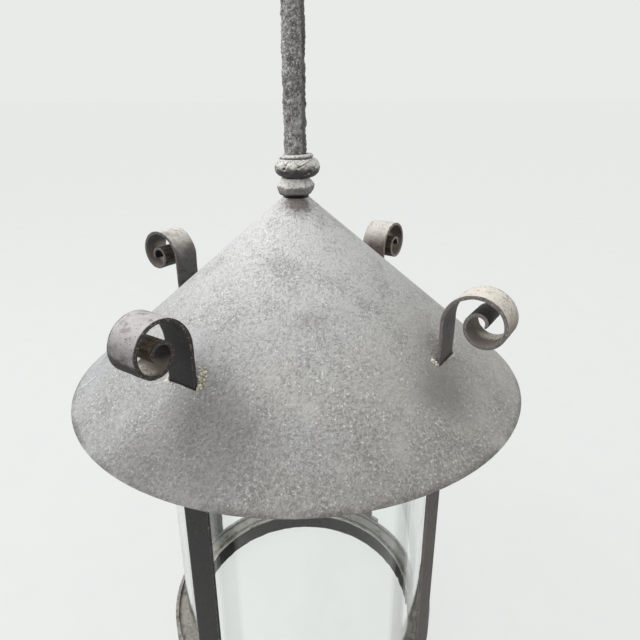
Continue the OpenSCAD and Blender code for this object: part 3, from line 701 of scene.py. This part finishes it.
# A bar of rounded section along its course, hammered, with edges that wander a little
def makeStrap(name, strap):
    look = strapLook
    course, centre = strapCourse(strap)
    half, thick, bend = look["wide"] / 2, look["thick"], look["radius"]
    corner = [(bend * math.sin(math.radians(a)), bend * math.cos(math.radians(a))) for a in (30, 60)]
    section = [(across, 0.0) for across in steps(-half + bend, half - bend, 13)]   # across, inwards
    section += [(half - bend + sine, bend - cosine) for sine, cosine in corner]
    section += [(half, bend), (half, thick - bend)]
    section += [(half - bend + sine, thick - bend + cosine) for sine, cosine in reversed(corner)]
    section += [(-across, thick - inward) for across, inward in section]
    turn = math.radians(strap["angle"])
    outDir = Vector((math.cos(turn), math.sin(turn), 0))
    sideDir = Vector((-math.sin(turn), math.cos(turn), 0))
    rings = []
    last = len(course) - 1
    for row, ((r, z), (nr, nz), turned) in enumerate(course):
        # only what shows above the roof is hammered
        free = 1.0 if turned else ease(z, look["roofClear"], look["roofClear"] + look["freeOver"])
        tip = 1 - ease(last - row, 0, 4)                    # the free end is a little thinner and round
        ring = []
        for across, inward in section:
            spot = Vector((r, across, z)) + Vector((strap["angle"], 0, 0))
            edge = 1 + free * look["wander"] * lumpy((r * 3, math.copysign(1, across), z * 3), 0.05, 2)
            deep = (inward - thick / 2) * (1 - look["tipThin"] * tip) + thick / 2
            deep *= 1 + free * look["upset"] / thick
            hammer = free * layered(spot, look["hammer"])
            hammer *= 1 if inward < thick / 2 else -1
            across *= edge * (1 - look["tipNarrow"] * tip)
            point = outDir * (r + nr * (hammer - deep)) + sideDir * across
            ring.append((point.x, point.y, z + nz * (hammer - deep)))
        rings.append(ring)
    piece = skin(name + "_forged", rings, False, strapFinish(name, strap, centre), name)
    # how far the bar has turned is kept on its points, for its material
    turns = piece.data.attributes.new("turned", "FLOAT", "POINT")
    turns.data.foreach_set("value", [turned for _, _, turned in course for _ in section])


def strapFinish(name, strap, centre):
    look = strapLook
    angle = strap["angle"]
    finish = newFinish("forgedIron_" + name)
    # turned so that X points out along the strap's radius and Y lies across the bar
    place, facing = (finish.node("VectorRotate", {"rotation_type": "Z_AXIS"},
                                 {"Vector": vector, "Angle": -math.radians(angle)})
                     for vector in (finish.place(), finish.facing()))
    x, y, z = finish.split(place)
    nx, _, nz = finish.split(facing)
    fromX, fromZ = x - centre.x, z - centre.y
    reach = (fromX * fromX + fromZ * fromZ) ** 0.5
    outward = (nx * fromX + nz * fromZ) / reach
    seat = finish.vector("ADD", finish.place(), (angle * 0.01, angle * 0.02, 0.0))
    lumps = finish.cloud(seat, 0.014, detail=4, rough=0.6)
    patches = finish.cloud(seat, 0.006, detail=5, rough=0.65, warp=0.4)
    grit = finish.cloud(seat, 0.0014, detail=3, rough=0.65)
    colour = finish.mix(paint(*strap["leg"]), paint(*look["dark"]), patches.rise(0.5, 0.66) * 0.5)
    turned = finish.node("Attribute", {"attribute_name": "turned"}, out="Fac")
    inner = turned.rise(255, 300)
    # the inner turns are olive and brown with streaks round the bend, laid mostly on faces that look up,
    # their tones per strap painted light and shade
    streaks = finish.cloud(place, 0.0035, detail=4, rough=0.7, warp=0.5, stretch=(1, 0.25, 1))
    colour = finish.over(colour, strap["coil"], inner * (nz + streaks * 1.4).rise(0.0, 1.0) * 0.9)
    colour = finish.over(colour, strap["streak"], inner * streaks.rise(0.44, 0.58) * 0.85)
    # painted light on the lower inside, taupe near the edge and cream at the far side, and painted shade in
    # the hollow within it
    inside = outward.rise(-0.1, -0.5)
    lit = inside * (turned + lumps * 30).rise(165, 215)
    colour = finish.over(colour, look["taupe"], lit * 0.9)
    far = (y * strap["far"] + (lumps - 0.5) * 0.008).rise(strap["creamFrom"], strap["creamFrom"] + 0.006)
    litCream = lit * far * turned.rise(strap["creamTo"] + 25, strap["creamTo"] - 20) * grit.rise(0.66, 0.5)
    colour = finish.over(colour, look["litCream"], litCream * 0.92)
    hollowShade = inside * (turned + y * strap["far"] * 2500).rise(288, 335)
    colour = finish.over(colour, strap["hollowShade"], hollowShade * 0.95)
    # the outer turn's face is pale on top and darker on its way down, mostly painted light and sheen from
    # above, partly dust
    crown = outward.rise(0.2, 0.6) * (turned + (lumps - 0.5) * 50).rise(5, 50) * (1 - inner)
    dustAndLight = (nz + (lumps - 0.5) * 0.7).rise(-0.4, 1.15)
    dustAndLight = finish.mix(paint(*strap["leeShade"]), paint(*strap["crown"]), dustAndLight)
    colour = finish.mix(colour, dustAndLight, crown * 0.95)
    colour = finish.over(colour, look["bruised"], crown * lumps.rise(0.5, 0.64) * strap["bruise"])
    colour = finish.over(colour, look["blotch"], crown * patches.rise(0.54, 0.68) * 0.6)
    colour = finish.over(colour, look["dark"], crown * grit.rise(0.42, 0.32) * 0.6)
    # the edges of the bar, their tone per strap painted light and shade, carried onto a margin of the faces
    # beside them
    margin = abs(y) + (patches - 0.5) * 0.0022
    edge = look["wide"] / 2 - strap["margin"]
    side = margin.rise(edge - 0.0003, edge + 0.0003)
    colour = finish.over(colour, strap["side"], side * 0.92)
    colour = finish.over(colour, look["brown"], side * patches.rise(0.5, 0.64) * 0.4)
    colour = finish.over(colour, look["wear"], side * grit.rise(0.54, 0.66) * 0.45)
    colour = finish.over(colour, look["dark"], grit.rise(0.4, 0.3) * 0.45)
    colour = finish.over(colour, look["wear"], grit.rise(0.62, 0.72) * (0.2 + crown * 0.4))
    height = lumps * 0.6 + patches * 0.5 + grit * 0.3
    normal = finish.bump(height, 0.0007, 0.6)
    roughness = 0.5 + crown * 0.14 + patches * 0.1
    return finish.close(finish.shader(colour, roughness, normal, {"Specular IOR Level": 0.3}))


for strapName, strapFacts in strapLook["straps"].items():
    makeStrap(strapName, strapFacts)
print("straps finished")

# Old putty round the slots of the two front straps: crumbs on the roof, against the bar. Each has
# its place across the bar and out from the axis, and its size, in millimetres
puttyLook = {
    "tan": ((224, 212, 180), (138, 112, 78)), "white": ((242, 240, 234), (206, 200, 186)),
    "sink": 0.25, "flat": 0.75, "rough": 0.45, "around": 12, "rows": 7,
}
puttyCrumbs = {
    "strap_front_left": {
        "tan": [
            (14.5, 134.8, 1.1), (14.3, 131.8, 1.3), (16.2, 133.2, 1.1), (12.8, 128.1, 1.3),
            (10.4, 125.8, 1.2), (11.2, 124.3, 1), (14.7, 135.9, 0.8), (13.1, 129.8, 1.1),
            (14.5, 125, 0.8), (17.2, 131.8, 0.8), (-9.4, 138.4, 0.8)],
        "white": [
            (14.8, 133.5, 1.4), (12.2, 130.9, 1.2), (10.5, 129.8, 1.3), (10.8, 128, 1.4),
            (8.5, 126.8, 1.2), (13.4, 126, 1.2), (6.6, 125.2, 0.9), (15.6, 127.8, 0.9),
            (16.8, 134.5, 0.8), (12.3, 126.8, 1), (15.5, 130, 0.9), (-14.4, 135.6, 1.2),
            (-13.7, 137.1, 1.3), (-11.2, 137.9, 1.2), (-7.9, 138, 1), (-4.8, 138.2, 0.8),
            (-14.7, 134, 0.9), (-15.2, 137.6, 0.9)]},
    "strap_front_right": {
        "tan": [
            (-16.2, 133.1, 1.1), (-14.5, 135.2, 1.1), (-14.1, 130.6, 0.9), (-1.7, 137.6, 0.7),
            (14.6, 135.2, 0.9), (6, 138.6, 0.7)],
        "white": [
            (-15.2, 131.8, 1.3), (-14.8, 133.6, 1.4), (-16.4, 131.6, 0.9), (-16, 134.8, 0.8),
            (1.8, 137.7, 0.9), (4.5, 137.8, 1.1), (7.2, 137.7, 1.2), (9.9, 137.8, 1.2),
            (12.2, 137.5, 1.1), (14, 136.8, 1.2), (11, 138.7, 0.8)]},
}


def puttyFinish(tone):
    finish = newFinish("putty_" + tone)
    place = finish.place()
    grit = finish.cloud(place, 0.0011, detail=4, rough=0.7)
    pale, deep = puttyLook[tone]
    colour = finish.mix(paint(*pale), paint(*deep), grit.rise(0.46, 0.6))
    normal = finish.bump(grit, 0.0008, 0.8)
    return finish.close(finish.shader(colour, 0.85, normal))


# Rough lumps, each a small closed ball pressed onto the cone
def makePutty(name, tone, crumbs, angle):
    look = puttyLook
    turn = math.radians(angle)
    points, faces = [], []
    around, rows = look["around"], look["rows"]
    for crumb in crumbs:
        side, out, size = (value / 1000 for value in crumb)
        spot = Vector((out * math.cos(turn) - side * math.sin(turn),
                       out * math.sin(turn) + side * math.cos(turn), 0))
        spot.z = coneHeight(spot.length) + size * look["sink"]
        first = len(points)
        for row in range(rows):
            tall = math.pi * (row + 0.5) / rows
            for a in fullTurn(around):
                away = Vector((math.sin(tall) * math.cos(a), math.sin(tall) * math.sin(a), math.cos(tall)))
                rough = 1 + look["rough"] * lumpy(spot + away * size, size * 0.9, 2)
                points.append(spot + Vector((away.x, away.y, away.z * look["flat"])) * size * rough)
        for row in range(rows - 1):
            low, high = first + row * around, first + (row + 1) * around
            for k in range(around):
                m = (k + 1) % around
                faces.append((low + k, high + k, high + m, low + m))
        faces.append(tuple(first + k for k in range(around)))
        faces.append(tuple(first + (rows - 1) * around + k for k in reversed(range(around))))
    addPiece(name, points, faces, puttyFinish(tone))


for strapName, tones in puttyCrumbs.items():
    for tone, crumbs in tones.items():
        makePutty("putty_" + tone + strapName[5:], tone, crumbs, strapLook["straps"][strapName]["angle"])
print("putty laid")

ringLook = {"iron": (92, 86, 83), "dark": (50, 46, 44), "ledge": (170, 166, 158), "edge": (222, 218, 210),
            "wall": (26, 22, 20), "rust": (104, 82, 70), "innerRadius": 0.1127, "ledgeHeight": 0.020}


def ringFinish():
    look = ringLook
    finish = newFinish("wornRing")
    place = finish.place()
    x, y, z = finish.split(place)
    _, _, nz = finish.split(finish.facing())
    radius = (x * x + y * y) ** 0.5
    lumps = finish.cloud(place, 0.02, detail=4, rough=0.6, stretch=(1, 1, 2))
    patches = finish.cloud(place, 0.006, detail=5, rough=0.65)
    grit = finish.cloud(place, 0.0013, detail=3)
    colour = finish.mix(paint(*look["iron"]), paint(*look["dark"]), patches.rise(0.48, 0.64) * 0.7)
    colour = finish.over(colour, look["rust"], lumps.rise(0.55, 0.68) * 0.5)
    ledge = nz.rise(0.5, 0.9) * (patches * 0.7 + grit * 0.5).rise(0.85, 0.5)
    colour = finish.over(colour, look["ledge"], ledge * 0.9)
    inner, top = look["innerRadius"], look["ledgeHeight"]
    # painted highlight along the top of the ledge's inner edge
    edgeHighlight = radius.rise(inner + 0.0018, inner + 0.0004) * z.rise(top - 0.0022, top - 0.0005)
    colour = finish.over(colour, look["edge"], edgeHighlight * (lumps + grit * 0.4).rise(0.5, 0.68) * 0.85)
    # painted shade on the inner wall below the ledge
    wall = radius.rise(inner + 0.004, inner + 0.002) * z.rise(top - 0.0005, top - 0.0025)
    colour = finish.over(colour, look["wall"], wall * (0.75 + patches * 0.25))
    height = lumps * 0.8 + patches * 0.5 + grit * 0.25
    normal = finish.bump(height, 0.0009, 0.6, finish.softEdge(0.0007))
    roughness = 0.5 + patches * 0.2 + ledge * 0.1
    return finish.close(finish.shader(colour, roughness, normal, {"Specular IOR Level": 0.2}))


sootLook = {"iron": (78, 73, 70), "soot": (42, 39, 38), "rust": (114, 80, 60), "light": (128, 122, 116)}


def sootFinish():
    look = sootLook
    finish = newFinish("sootyIron")
    place = finish.place()
    lumps = finish.cloud(place, 0.016, detail=4, rough=0.6)
    patches = finish.cloud(place, 0.004, detail=5, rough=0.65)
    grit = finish.cloud(place, 0.0012, detail=3)
    colour = finish.mix(paint(*look["iron"]), paint(*look["soot"]), lumps.rise(0.42, 0.6) * 0.8)
    colour = finish.over(colour, look["rust"], patches.rise(0.56, 0.7) * 0.55)
    colour = finish.over(colour, look["light"], grit.rise(0.64, 0.76) * 0.5)
    height = lumps * 0.6 + patches * 0.5 + grit * 0.3
    normal = finish.bump(height, 0.0008, 0.6, finish.softEdge(0.0005))
    return finish.close(finish.shader(colour, 0.55 + patches * 0.2, normal, {"Metallic": 0.25}))


dress(ringFinish(), "bottom_ring", "bottom_hoop", "hoop_rivets")
dress(sootFinish(), "top_ring", "spider", "spider_nut_upper", "spider_nut_lower", "spider_rivets",
      "top_rivets", "roof_washer", "roof_nut")
print("rings and hidden iron finished")

glassLook = {"tint": (252, 254, 253), "film": (246, 248, 245), "shadow": (246, 250, 248), "index": 1.36,
             "outer": 0.1205, "wall": 0.0045, "foot": 0.020, "head": 0.2758, "round": 0.0012,
             "wave": 0.00005, "around": 160}


def glassFinish():
    look = glassLook
    finish = newFinish("lampGlass")
    place = finish.place()
    film = finish.cloud(place, 0.05, detail=4, rough=0.6, stretch=(1, 1, 0.5))
    specks = finish.cloud(place, 0.003, detail=3)
    colour = finish.mix(paint(*look["tint"]), paint(*look["film"]), film.rise(0.45, 0.7) * 0.5)
    roughness = 0.01 + film.rise(0.5, 0.75) * 0.03 + specks.rise(0.66, 0.74) * 0.12
    normal = finish.bump(film, 0.004, 0.03)
    clear = finish.shader(colour, roughness, normal, {"Transmission Weight": 1.0, "IOR": look["index"],
                                                      "Specular IOR Level": 0.15})
    # lamplight passes straight through, so the glass casts hardly any shadow
    through = finish.node("BsdfTransparent", None, {"Color": paint(*look["shadow"])})
    shadow = finish.node("LightPath", out="Is Shadow Ray")
    return finish.close(finish.node("MixShader", None, {0: shadow, 1: clear, 2: through}))


# Open cylinder with fire-rounded rims and the slight waviness of blown glass
def makeGlass():
    look = glassLook
    bend = look["round"]
    outer, inner, foot, head = look["outer"], look["outer"] - look["wall"], look["foot"], look["head"]

    def corner(r, z, *turns):
        return [(r + bend * math.cos(math.radians(turn)), z + bend * math.sin(math.radians(turn)))
                for turn in turns]

    loop = [(outer, z) for z in steps(foot + bend, head - bend, 50)]
    loop += corner(outer - bend, head - bend, 30, 60, 90)
    loop += corner(inner + bend, head - bend, 90, 120, 150)
    loop += [(inner, z) for z in steps(head - bend, foot + bend, 50)]
    loop += corner(inner + bend, foot + bend, 210, 240, 270)
    loop += corner(outer - bend, foot + bend, 270, 300, 330)
    rings = []
    for r, z in loop:
        ring = []
        for a in fullTurn(look["around"]):
            wave = look["wave"] * noise.noise(Vector((math.sin(a) * 2.2, math.cos(a) * 2.2, z * 16)))
            ring.append((*offAxis(r + wave, a), z))
        rings.append(ring)
    skin("glass_blown", rings, True, glassFinish(), "glass_cylinder")


makeGlass()
print("glass finished")

brassLook = {"brass": (150, 120, 66), "tarnish": (84, 66, 44), "bright": (196, 166, 104),
             "verdigris": (96, 112, 92)}


def brassFinish():
    look = brassLook
    finish = newFinish("agedBrass")
    place = finish.place()
    lumps = finish.cloud(place, 0.01, detail=4, rough=0.6)
    patches = finish.cloud(place, 0.003, detail=4, rough=0.65)
    turned = finish.cloud(place, 0.0012, detail=2, stretch=(0.08, 0.08, 1))
    colour = finish.mix(paint(*look["brass"]), paint(*look["tarnish"]), lumps.rise(0.42, 0.62) * 0.8)
    colour = finish.over(colour, look["bright"], turned.rise(0.58, 0.7) * 0.4)
    colour = finish.over(colour, look["verdigris"], patches.rise(0.62, 0.74) * 0.5)
    height = turned * 0.4 + patches * 0.5 + lumps * 0.3
    normal = finish.bump(height, 0.0004, 0.5, finish.softEdge(0.0004))
    return finish.close(finish.shader(colour, 0.32 + lumps * 0.3, normal, {"Metallic": 0.9}))


enamelLook = {"enamel": (196, 193, 182), "singed": (150, 138, 118), "chip": (52, 44, 40),
              "rim": (0.040, 0.046)}


def enamelFinish():
    look = enamelLook
    finish = newFinish("stoveEnamel")
    place = finish.place()
    x, y, _ = finish.split(place)
    radius = (x * x + y * y) ** 0.5
    film = finish.cloud(place, 0.012, detail=5, rough=0.6)
    chips = finish.cloud(place, 0.004, detail=4, rough=0.7)
    colour = finish.mix(paint(*look["enamel"]), paint(*look["singed"]), film.rise(0.45, 0.68) * 0.7)
    rim = radius.rise(*look["rim"]) * chips.rise(0.45, 0.55)
    colour = finish.over(colour, look["chip"], (rim + chips.rise(0.68, 0.72)).rise(0.2, 0.8) * 0.9)
    normal = finish.bump(chips.rise(0.66, 0.7) * -1 + film * 0.3, 0.0004, 0.5, finish.softEdge(0.0004))
    return finish.close(finish.shader(colour, 0.3 + film * 0.3, normal))


clayLook = {"clay": (214, 206, 188), "burnt": (178, 160, 132), "soot": (96, 84, 74), "grit": (128, 112, 92),
            "sooted": (0.184, 0.176)}


def clayFinish():
    look = clayLook
    finish = newFinish("firedClay")
    place = finish.place()
    film = finish.cloud(place, 0.008, detail=5, rough=0.6)
    grit = finish.cloud(place, 0.0012, detail=3)
    _, _, z = finish.split(place)
    colour = finish.mix(paint(*look["clay"]), paint(*look["burnt"]), film.rise(0.4, 0.65) * 0.8)
    colour = finish.over(colour, look["soot"], (z + film * 0.01).rise(*look["sooted"]) * 0.4)
    colour = finish.over(colour, look["grit"], grit.rise(0.64, 0.74) * 0.5)
    normal = finish.bump(grit * 0.6 + film * 0.4, 0.0005, 0.6, finish.softEdge(0.0005))
    return finish.close(finish.shader(colour, 0.8, normal))


mantleLook = {"ash": (226, 222, 210), "gap": (186, 178, 160), "film": (168, 156, 138),
              "wales": 44.0, "courses": 3600.0}


def mantleFinish():
    look = mantleLook
    finish = newFinish("mantleAsh")
    place = finish.place()
    x, y, z = finish.split(place)
    around = finish.math("ARCTAN2", y, x)
    wale = finish.math("SINE", around * look["wales"]) * finish.math("SINE", z * look["courses"])
    film = finish.cloud(place, 0.007, detail=4)
    colour = finish.mix(paint(*look["ash"]), paint(*look["gap"]), wale.rise(-0.2, 0.6) * 0.6)
    colour = finish.over(colour, look["film"], film.rise(0.5, 0.7) * 0.5)
    normal = finish.bump(wale, 0.0005, 0.7)
    return finish.close(finish.shader(colour, 0.9, normal))


dress(brassFinish(), "cock_body", "cock_lever", "cock_nut", "injector", "mixing_tube", "air_shutter",
      "burner_head")
dress(enamelFinish(), "deflector")
dress(clayFinish(), "ceramic_nozzle", "mantle_ring")
dress(mantleFinish(), "mantle")
print("burner finished")
